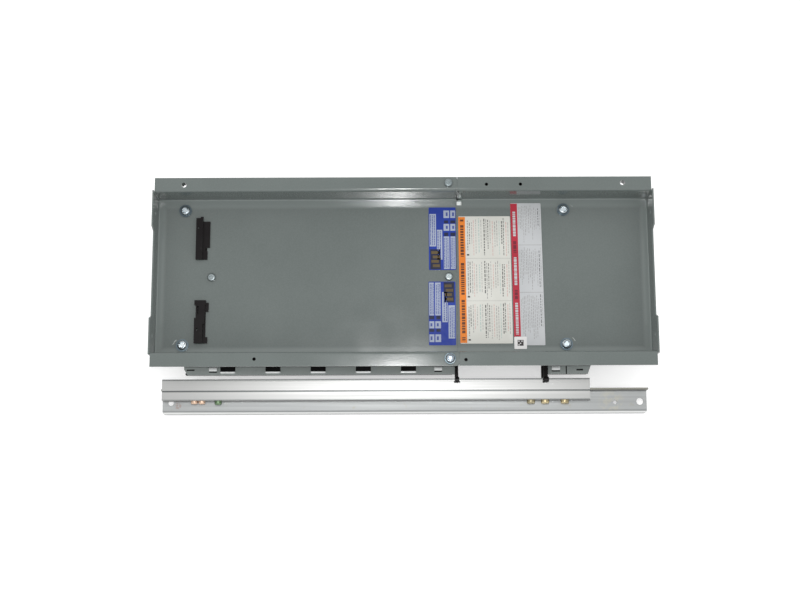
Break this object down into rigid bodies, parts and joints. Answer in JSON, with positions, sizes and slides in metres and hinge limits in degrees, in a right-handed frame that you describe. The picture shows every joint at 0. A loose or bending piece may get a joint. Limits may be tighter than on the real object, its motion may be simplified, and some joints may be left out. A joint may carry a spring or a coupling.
{
  "type": "load center interior",
  "caption": "Grey load-center interior: blank recessed dead front over a bus chassis with breaker hook rails, and an aluminium neutral rail alongside.",
  "frame": {"origin": "centre of the four wall-stud holes, on the back plane of the rear pan, under the middle of the dead front", "axes": "+X along the dead front towards the line lugs, +Y across it away from the neutral rail, +Z out of the wall"},
  "size_m": [0.4128, 0.1879, 0.0833],
  "materials": {
    "grey_enamel": "satin",
    "zinc_plate": "bright zinc",
    "black_oxide": "black oxide",
    "galvanised_steel": "matt galvanised",
    "rail_aluminium": "brushed extrusion",
    "plated_bus": "tin plated",
    "lug_aluminium": "satin",
    "black_phenolic": "moulded",
    "black_nylon": "moulded",
    "brass": "satin",
    "copper": "copper, satin",
    "green_screw": "green dyed zinc",
    "orange_print": "printed, orange and white",
    "red_print": "printed, red and white",
    "blue_print": "printed, blue and white",
    "sticker_print": "printed"
  },
  "bodies": {
    "chassis": {"rear_pan": "grey_enamel", "right_bracket_far": "grey_enamel", "right_bracket_near": "grey_enamel", "bracket_rivets": "zinc_plate", "hook_liner_far": "black_phenolic", "hook_liner_near": "black_phenolic", "bracket_liners": "black_phenolic", "liner_rivets": "zinc_plate", "corner_posts": "zinc_plate", "bus_support_left": "black_phenolic", "bus_support_middle": "black_phenolic", "bus_support_right": "black_phenolic", "lug_support": "black_phenolic", "support_screws": "zinc_plate", "bus_bar_a": "plated_bus", "bus_bar_b": "plated_bus", "bus_stabs_a": "plated_bus", "bus_stabs_b": "plated_bus", "bus_stab_rivets": "plated_bus", "bus_bar_screws": "zinc_plate", "line_lug_a": "lug_aluminium", "line_lug_b": "lug_aluminium", "lug_mounting_screws": "zinc_plate", "neutral_rail": "rail_aluminium", "rail_carrier": "galvanised_steel", "copper_rivets": "copper", "cable_tie_left": "black_nylon", "cable_tie_right": "black_nylon"},
    "barrier": {"barrier_sheet": "grey_enamel", "seam_strap": "grey_enamel", "seam_clip": "galvanised_steel", "blind_nuts": "black_oxide", "barrier_corner_screws": "zinc_plate", "barrier_washers": "black_oxide", "orange_label": "orange_print", "red_label": "red_print", "square_sticker": "sticker_print"},
    "cover": {"cover_sheet": "grey_enamel", "circuit_label_far": "blue_print", "circuit_label_near": "blue_print", "cover_corner_screws": "zinc_plate", "cover_washers": "black_oxide", "seam_screws": "zinc_plate", "cover_screw_left": "zinc_plate", "captive_screw": "zinc_plate", "captive_washer": "black_oxide"},
    "far_latch": {"latch_upper": "black_nylon"},
    "near_latch": {"latch_lower": "black_nylon"},
    "set_screw_a": {"lug_set_screw_a": "zinc_plate"},
    "set_screw_b": {"lug_set_screw_b": "zinc_plate"},
    "bonding_screw": {"green_bonding_screw": "green_screw"},
    "rail_screw_1": {"terminal_screw_1": "brass"},
    "rail_screw_2": {"terminal_screw_2": "brass"},
    "rail_screw_3": {"terminal_screw_3": "brass"}
  },
  "joints": [
    {"name": "dead_front_lift", "type": "slide", "parent": "chassis", "child": "barrier", "axis": [0, 0, 1], "range_m": [0, 0.07]},
    {"name": "cover_lift", "type": "slide", "parent": "barrier", "child": "cover", "axis": [0, 0, 1], "range_m": [0, 0.06]},
    {"name": "far_latch_slide", "type": "slide", "parent": "cover", "child": "far_latch", "axis": [0, -1, 0], "range_m": [0, 0.006]},
    {"name": "near_latch_slide", "type": "slide", "parent": "cover", "child": "near_latch", "axis": [0, 1, 0], "range_m": [0, 0.006]},
    {"name": "lug_screw_a_travel", "type": "slide", "parent": "chassis", "child": "set_screw_a", "axis": [0, 0, -1], "range_m": [0, 0.007]},
    {"name": "lug_screw_b_travel", "type": "slide", "parent": "chassis", "child": "set_screw_b", "axis": [0, 0, -1], "range_m": [0, 0.007]},
    {"name": "bonding_screw_travel", "type": "slide", "parent": "chassis", "child": "bonding_screw", "axis": [0, -1, 0], "range_m": [0, 0.004]},
    {"name": "terminal_1_travel", "type": "slide", "parent": "chassis", "child": "rail_screw_1", "axis": [0, -1, 0], "range_m": [0, 0.004]},
    {"name": "terminal_2_travel", "type": "slide", "parent": "chassis", "child": "rail_screw_2", "axis": [0, -1, 0], "range_m": [0, 0.004]},
    {"name": "terminal_3_travel", "type": "slide", "parent": "chassis", "child": "rail_screw_3", "axis": [0, -1, 0], "range_m": [0, 0.004]}
  ]
}
